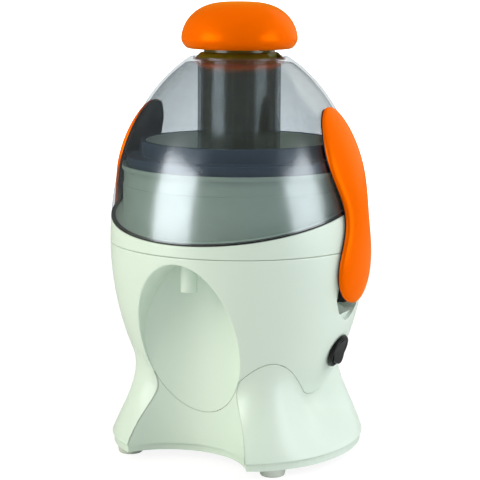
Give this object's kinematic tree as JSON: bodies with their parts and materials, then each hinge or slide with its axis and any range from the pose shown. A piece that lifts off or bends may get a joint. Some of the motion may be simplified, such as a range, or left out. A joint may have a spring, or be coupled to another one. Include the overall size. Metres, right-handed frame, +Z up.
{
  "type": "juice extractor",
  "caption": "Egg-shaped upright juice extractor on a lobed base: tumbler niche and spout, smoky lift-off lid with feed tube and pusher, filter basket over a motor, side latches, rocker switch.",
  "frame": {"origin": "on the table under the middle of the four feet", "axes": "+Z up along the motor shaft, -Y towards the tumbler niche and spout, +X towards the rocker switch"},
  "size_m": [0.189, 0.176, 0.307],
  "materials": {
    "ivory_plastic": "moulded ivory white plastic, soft gloss",
    "orange_plastic": "bright orange plastic, soft gloss",
    "smoky_clear": "clear plastic with a smoke grey tint, polished",
    "dark_clear": "dark olive smoky plastic, polished",
    "black_plastic": "black moulded plastic, satin",
    "dark_plastic": "dark grey moulded plastic",
    "pale_rubber": "pale grey soft rubber",
    "black_rubber": "black rubber",
    "bright_steel": "bright zinc plated steel",
    "stainless_mesh": "stainless sheet, fine etched",
    "iron_stack": "stacked iron sheets",
    "die_cast": "die cast, dull",
    "enamelled_wire": "enamelled copper winding",
    "copper_bars": "turned copper segments",
    "brown_resin": "brown moulding resin",
    "carbon": "pressed carbon, dull black"
  },
  "bodies": {
    "motor_base": {"base_skirt": "ivory_plastic", "bottom_cover": "ivory_plastic", "rubber_feet": "pale_rubber", "cover_screws": "bright_steel", "motor_housing": "ivory_plastic", "latch_pins": "bright_steel", "cord_gland": "black_rubber", "switch_bezel": "black_plastic", "interlock_switch": "black_plastic", "stator_core": "iron_stack", "field_coils": "enamelled_wire", "upper_bracket": "die_cast", "lower_bracket": "die_cast", "motor_bolts": "bright_steel", "mount_screws": "bright_steel", "rubber_mounts": "black_rubber", "upper_bearing": "bright_steel", "lower_bearing": "bright_steel", "brush_holders": "brown_resin", "carbon_brushes": "carbon", "shaft_seal": "black_rubber"},
    "rotor": {"motor_shaft": "bright_steel", "rotor_core": "iron_stack", "commutator": "copper_bars", "cooling_fan": "black_plastic", "drive_coupling": "black_plastic"},
    "basket": {"filter_basket": "stainless_mesh", "basket_rim": "dark_plastic", "basket_hub": "dark_plastic", "grater_disc": "stainless_mesh", "disc_nut": "bright_steel"},
    "bowl": {"juice_bowl": "ivory_plastic"},
    "lid": {"lid_dome": "smoky_clear", "lid_seal": "black_rubber"},
    "pusher": {"pusher_stem": "dark_clear", "pusher_cap": "orange_plastic"},
    "left_latch": {"left_latch_cover": "orange_plastic", "left_latch_liner": "black_plastic"},
    "right_latch": {"right_latch_cover": "orange_plastic", "right_latch_liner": "black_plastic"},
    "rocker": {"rocker_switch": "black_plastic"}
  },
  "joints": [
    {"name": "lid_lift", "type": "slide", "parent": "motor_base", "child": "lid", "axis": [0, 0, 1], "range_m": [0, 0.16]},
    {"name": "bowl_lift", "type": "slide", "parent": "motor_base", "child": "bowl", "axis": [0, 0, 1], "range_m": [0, 0.04]},
    {"name": "drive_spin", "type": "hinge", "parent": "motor_base", "child": "rotor", "pos_m": [0, 0, 0.09], "axis": [0, 0, 1], "continuous": true},
    {"name": "basket_lift", "type": "slide", "parent": "rotor", "child": "basket", "axis": [0, 0, 1], "range_m": [0, 0.09]},
    {"name": "pusher_slide", "type": "slide", "parent": "lid", "child": "pusher", "axis": [0, 0, 1], "range_m": [0, 0.085]},
    {"name": "right_latch_swing", "type": "hinge", "parent": "motor_base", "child": "right_latch", "pos_m": [0.0795, 0, 0.1145], "axis": [0, 1, 0], "range_deg": [0, 70]},
    {"name": "left_latch_swing", "type": "hinge", "parent": "motor_base", "child": "left_latch", "pos_m": [-0.0795, 0, 0.1145], "axis": [0, -1, 0], "range_deg": [0, 70]},
    {"name": "switch_rock", "type": "hinge", "parent": "motor_base", "child": "rocker", "pos_m": [0.07509, 0, 0.075], "axis": [0, 1, 0], "range_deg": [0, 18]}
  ],
  "couplings": [
    {"joint": "bowl_lift", "follows": "lid_lift", "ratio": 0.25},
    {"joint": "basket_lift", "follows": "lid_lift", "ratio": 0.5625},
    {"joint": "right_latch_swing", "follows": "lid_lift", "rad_per_m": 7.6358},
    {"joint": "left_latch_swing", "follows": "lid_lift", "rad_per_m": 7.6358}
  ]
}
